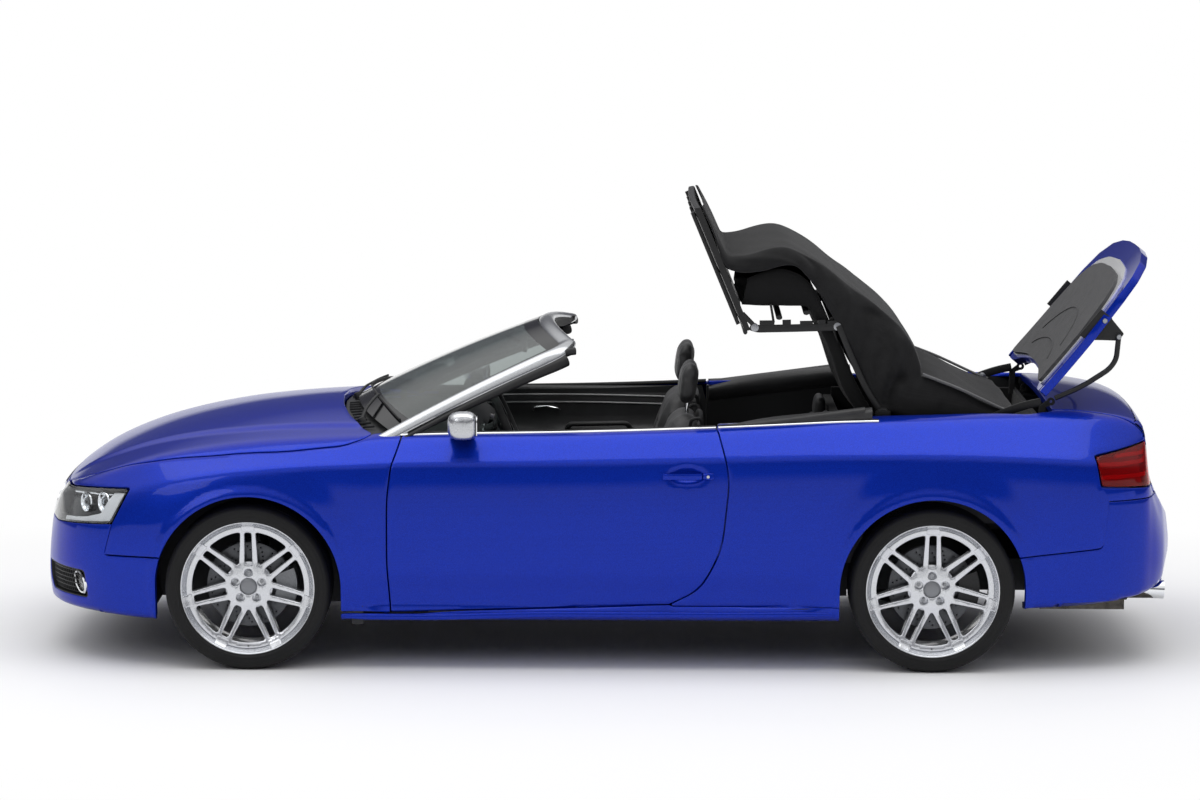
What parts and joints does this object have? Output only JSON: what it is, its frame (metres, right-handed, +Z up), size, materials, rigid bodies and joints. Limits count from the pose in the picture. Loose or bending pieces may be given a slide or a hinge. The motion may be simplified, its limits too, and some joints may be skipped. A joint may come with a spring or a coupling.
{
  "type": "two-door convertible car",
  "caption": "Two-door soft-top convertible with opening doors, bonnet, boot lid and roof-box cover, its roof half folded.",
  "frame": {"origin": "on the ground under the middle of the car's length and width", "axes": "+X to the rear, +Y to the car's right, +Z up"},
  "size_m": [4.635, 2, 1.8519],
  "materials": {
    "paint": "deep blue metallic paint",
    "underbody": "dark sealed steel",
    "satin": "satin silver",
    "rim": "bright silver",
    "tyre": "black rubber",
    "disc": "turned iron",
    "black_plastic": "grained black",
    "lamp_clear": "clear lamp cover",
    "lamp_red": "red lamp cover",
    "glass": "tinted glass",
    "leather": "dark grey leather",
    "fabric": "black woven top",
    "steel": "machined steel"
  },
  "bodies": {
    "body": {"console": "black_plastic", "dashboard": "black_plastic", "engine": "steel", "exhaust": "steel", "fog_grille_left": "black_plastic", "fog_grille_right": "black_plastic", "front_bumper": "paint", "front_suspension": "steel", "grille": "black_plastic", "headlamp_left": "lamp_clear", "headlamp_right": "lamp_clear", "quarter_left": "paint", "quarter_right": "paint", "rear_axle": "steel", "rear_bumper": "paint", "rear_seat": "leather", "roof_fabric": "fabric", "roof_frame": "black_plastic", "seat_left": "leather", "seat_right": "leather", "tail_lamp_left": "lamp_red", "tail_lamp_right": "lamp_red", "tub_boot": "underbody", "tub_floor": "underbody", "tub_front": "underbody", "tub_rear_floor": "underbody", "tub_roof_box": "underbody", "windscreen_frame": "satin", "windscreen_glass": "glass", "wing_left": "paint", "wing_right": "paint"},
    "door_left": {"door_left": "paint", "mirror_left": "satin"},
    "knuckle_left": {"knuckle_left": "steel"},
    "wheel_front_left": {"rim_front_left": "rim", "tyre_front_left": "tyre", "disc_front_left": "disc"},
    "wheel_rear_left": {"rim_rear_left": "rim", "tyre_rear_left": "tyre", "disc_rear_left": "disc"},
    "door_right": {"door_right": "paint", "mirror_right": "satin"},
    "knuckle_right": {"knuckle_right": "steel"},
    "wheel_front_right": {"rim_front_right": "rim", "tyre_front_right": "tyre", "disc_front_right": "disc"},
    "wheel_rear_right": {"rim_rear_right": "rim", "tyre_rear_right": "tyre", "disc_rear_right": "disc"},
    "bonnet": {"bonnet": "paint"},
    "boot_lid": {"boot_lid": "paint", "lid_lamp_left": "lamp_red", "lid_lamp_right": "lamp_red"},
    "roof_cover": {"roof_cover": "paint", "cover_liner": "black_plastic", "cover_bars": "black_plastic"},
    "steering_wheel": {"steering_wheel": "black_plastic"}
  },
  "joints": [
    {"name": "steer_left", "type": "hinge", "parent": "body", "child": "knuckle_left", "pos_m": [-1.4475, -0.715, 0.3335], "axis": [0, 0, 1], "range_deg": [-35, 35]},
    {"name": "wheel_front_left_spin", "type": "hinge", "parent": "knuckle_left", "child": "wheel_front_left", "pos_m": [-1.4475, -0.785, 0.3335], "axis": [0, 1, 0], "continuous": true},
    {"name": "wheel_rear_left_spin", "type": "hinge", "parent": "body", "child": "wheel_rear_left", "pos_m": [1.3035, -0.785, 0.3335], "axis": [0, 1, 0], "continuous": true},
    {"name": "door_left_hinge", "type": "hinge", "parent": "body", "child": "door_left", "pos_m": [-0.8, -0.86, 0.55], "axis": [0, 0, -1], "range_deg": [0, 65]},
    {"name": "steer_right", "type": "hinge", "parent": "body", "child": "knuckle_right", "pos_m": [-1.4475, 0.715, 0.3335], "axis": [0, 0, 1], "range_deg": [-35, 35]},
    {"name": "wheel_front_right_spin", "type": "hinge", "parent": "knuckle_right", "child": "wheel_front_right", "pos_m": [-1.4475, 0.785, 0.3335], "axis": [0, 1, 0], "continuous": true},
    {"name": "wheel_rear_right_spin", "type": "hinge", "parent": "body", "child": "wheel_rear_right", "pos_m": [1.3035, 0.785, 0.3335], "axis": [0, 1, 0], "continuous": true},
    {"name": "door_right_hinge", "type": "hinge", "parent": "body", "child": "door_right", "pos_m": [-0.8, 0.86, 0.55], "axis": [0, 0, 1], "range_deg": [0, 65]},
    {"name": "bonnet_hinge", "type": "hinge", "parent": "body", "child": "bonnet", "pos_m": [-0.9, 0, 0.925], "axis": [0, 1, 0], "range_deg": [0, 50]},
    {"name": "boot_lid_hinge", "type": "hinge", "parent": "body", "child": "boot_lid", "pos_m": [1.812, 0, 0.978], "axis": [0, -1, 0], "range_deg": [0, 25]},
    {"name": "roof_cover_hinge", "type": "hinge", "parent": "body", "child": "roof_cover", "pos_m": [1.796, 0, 1.067], "axis": [0, -1, 0], "range_deg": [0, 80]},
    {"name": "steering_wheel_turn", "type": "hinge", "parent": "body", "child": "steering_wheel", "pos_m": [-0.415, -0.37, 0.935], "axis": [0.9135, 0, 0.4067], "range_deg": [-525, 525]}
  ],
  "couplings": [
    {"joint": "steer_right", "follows": "steer_left", "ratio": 1},
    {"joint": "steering_wheel_turn", "follows": "steer_left", "ratio": 15}
  ]
}
